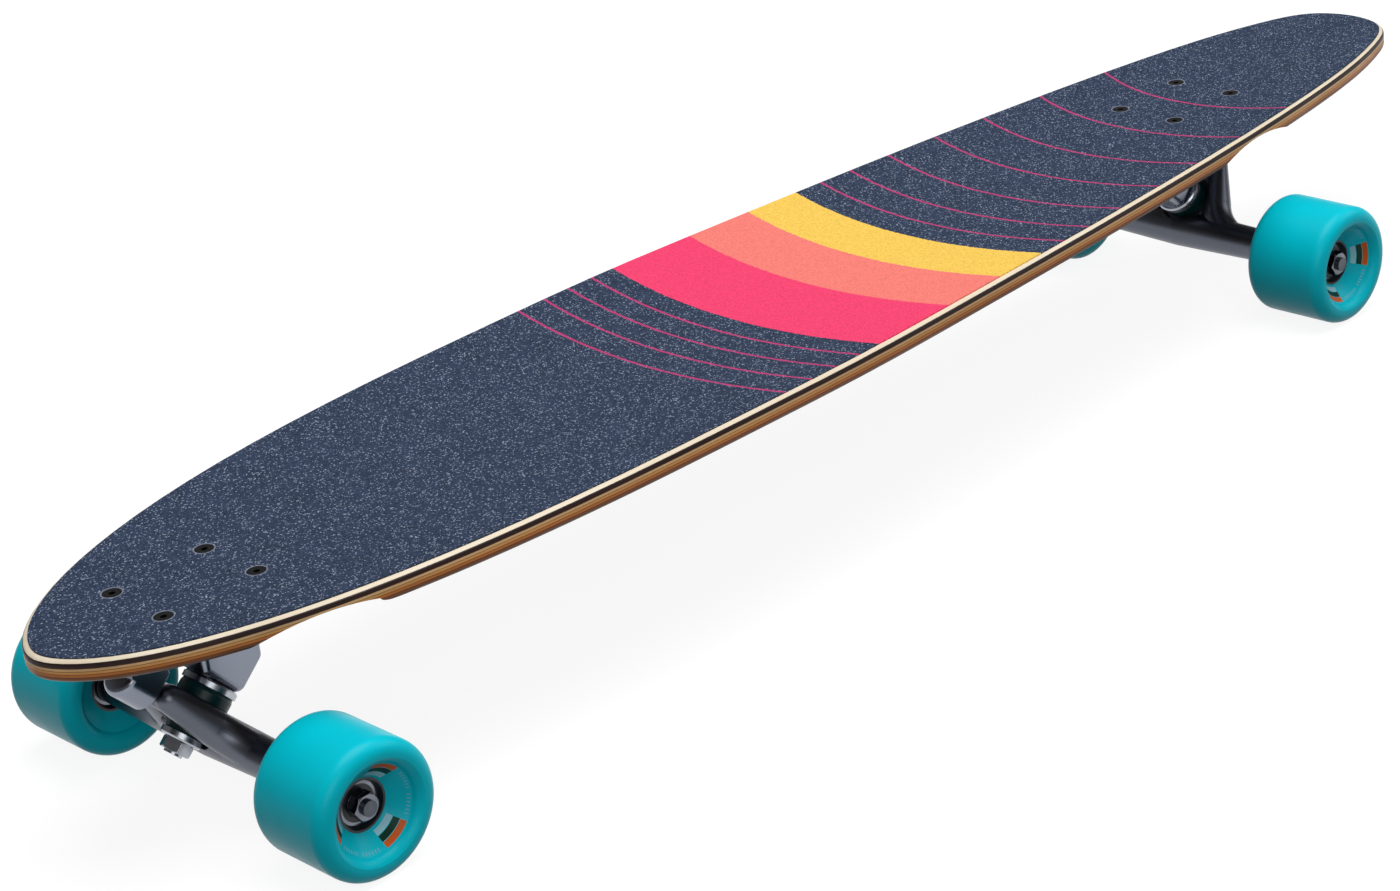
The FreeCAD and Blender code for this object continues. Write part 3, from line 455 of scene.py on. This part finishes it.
def urethane_finish():
    """Cast urethane in one satin colour, printed round the hub."""
    paint = Paint("urethane")
    mottle = paint.noise(**URETHANE_MOTTLE)
    colour = hub_print(paint, paint.mix(mottle, TEAL_BRIGHT, TEAL_DEEP))
    gloss = paint.spread(mottle, *NOISE_RANGE, *URETHANE_ROUGHNESS)
    normal = paint.bump(paint.noise(**MOULDED_SKIN), **URETHANE_BUMP)
    return paint.surface(colour, gloss, normal, URETHANE_SHADER)


# All pieces

def finishes():
    """Every finish by its name."""
    made = {"grip": grip_finish(), "core_wood": core_finish(), "urethane": urethane_finish()}
    families = ((veneer_finish, VENEERS), (casting_finish, CASTINGS), (steel_finish, STEELS),
                (plastic_finish, PLASTICS))
    for finish, members in families:
        for name, settings in members.items():
            made[name] = finish(name, **settings)
    return made


def dress():
    """Each piece in the finish of its material, or in the finish that its kind has of its own."""
    made = finishes()
    for subpart in frame["record"]["subparts"]:
        kind = subpart["node"].split("_", 1)[1]
        finish = OWN_FINISHES.get(kind, subpart["material_slot"])
        for slot in frame["nodes"][subpart["node"]].material_slots:
            slot.material = made[finish]


# Studio

def add_floor():
    """Pale floor, nearly white to the eye and to reflections, that takes the shadow round the object."""
    quarters = ((-1, -1), (1, -1), (1, 1), (-1, 1))
    corners = [(x * FLOOR_HALF, y * FLOOR_HALF, 0) for x, y in quarters]
    mesh = bpy.data.meshes.new("floor")
    mesh.from_pydata(corners, [], [range(len(corners))])
    floor = bpy.data.objects.new("floor", mesh)
    bpy.context.scene.collection.objects.link(floor)
    paint = Paint("floor")
    light_path = paint.node("ShaderNodeLightPath").outputs
    seen = paint.largest(*[light_path[f"Is {kind} Ray"] for kind in ("Camera", "Glossy", "Transmission")])
    colour = paint.mix(seen, FLOOR_BOUNCE_COLOUR, FLOOR_COLOUR)
    matt = paint.node("ShaderNodeBsdfDiffuse", {"Color": colour}).outputs[0]
    glow = paint.node("ShaderNodeEmission", {"Color": linear(WHITE), "Strength": FLOOR_GLOW}).outputs[0]
    glowing = paint.spread(paint.length(paint.place), SHADOW_REACH, WHITE_FROM, FLOOR_GLOW_SHARE, 1.0)
    share = paint.math("MULTIPLY", seen, glowing)
    blend = paint.node("ShaderNodeMixShader", {0: share, 1: matt, 2: glow})
    paint.node("ShaderNodeOutputMaterial", {"Surface": blend.outputs[0]})
    mesh.materials.append(paint.material)


def add_world():
    """Dim, even light from all round, which the camera sees as white."""
    world = bpy.data.worlds.new("studio")
    world.use_nodes = True
    bpy.context.scene.world = world
    nodes, links = world.node_tree.nodes, world.node_tree.links
    light_path = nodes.new("ShaderNodeLightPath")
    strength = nodes.new("ShaderNodeMapRange")
    strength.inputs["To Min"].default_value = WORLD_STRENGTH
    links.new(light_path.outputs["Is Camera Ray"], strength.inputs["Value"])
    background = nodes["Background"]
    background.inputs["Color"].default_value = linear(WHITE)
    links.new(strength.outputs[0], background.inputs["Strength"])


def add_lamps():
    """Square softboxes, all aimed at the middle of the board."""
    for name, lamp in LAMPS.items():
        data = bpy.data.lights.new(name, "AREA")
        data.size = lamp["size"]
        data.energy = lamp["power"]
        softbox = bpy.data.objects.new(name, data)
        softbox.location = lamp["place"]
        softbox.rotation_mode = "QUATERNION"
        softbox.rotation_quaternion = (LAMP_TARGET - softbox.location).to_track_quat("-Z", "Y")
        bpy.context.scene.collection.objects.link(softbox)


def add_camera():
    """Camera at the photograph's place, rolled about its own line of sight."""
    data = bpy.data.cameras.new("camera")
    data.lens = CAMERA_LENS
    data.sensor_width = SENSOR_WIDTH
    camera = bpy.data.objects.new("camera", data)
    camera.location = CAMERA_PLACE
    camera.rotation_mode = "QUATERNION"
    level = (CAMERA_TARGET - CAMERA_PLACE).to_track_quat("-Z", "Y")
    camera.rotation_quaternion = level @ Quaternion((0, 0, 1), CAMERA_ROLL)
    bpy.context.scene.collection.objects.link(camera)
    bpy.context.scene.camera = camera


dress()
add_floor()
add_world()
add_lamps()
add_camera()
bpy.context.scene.view_settings.view_transform = "Standard"
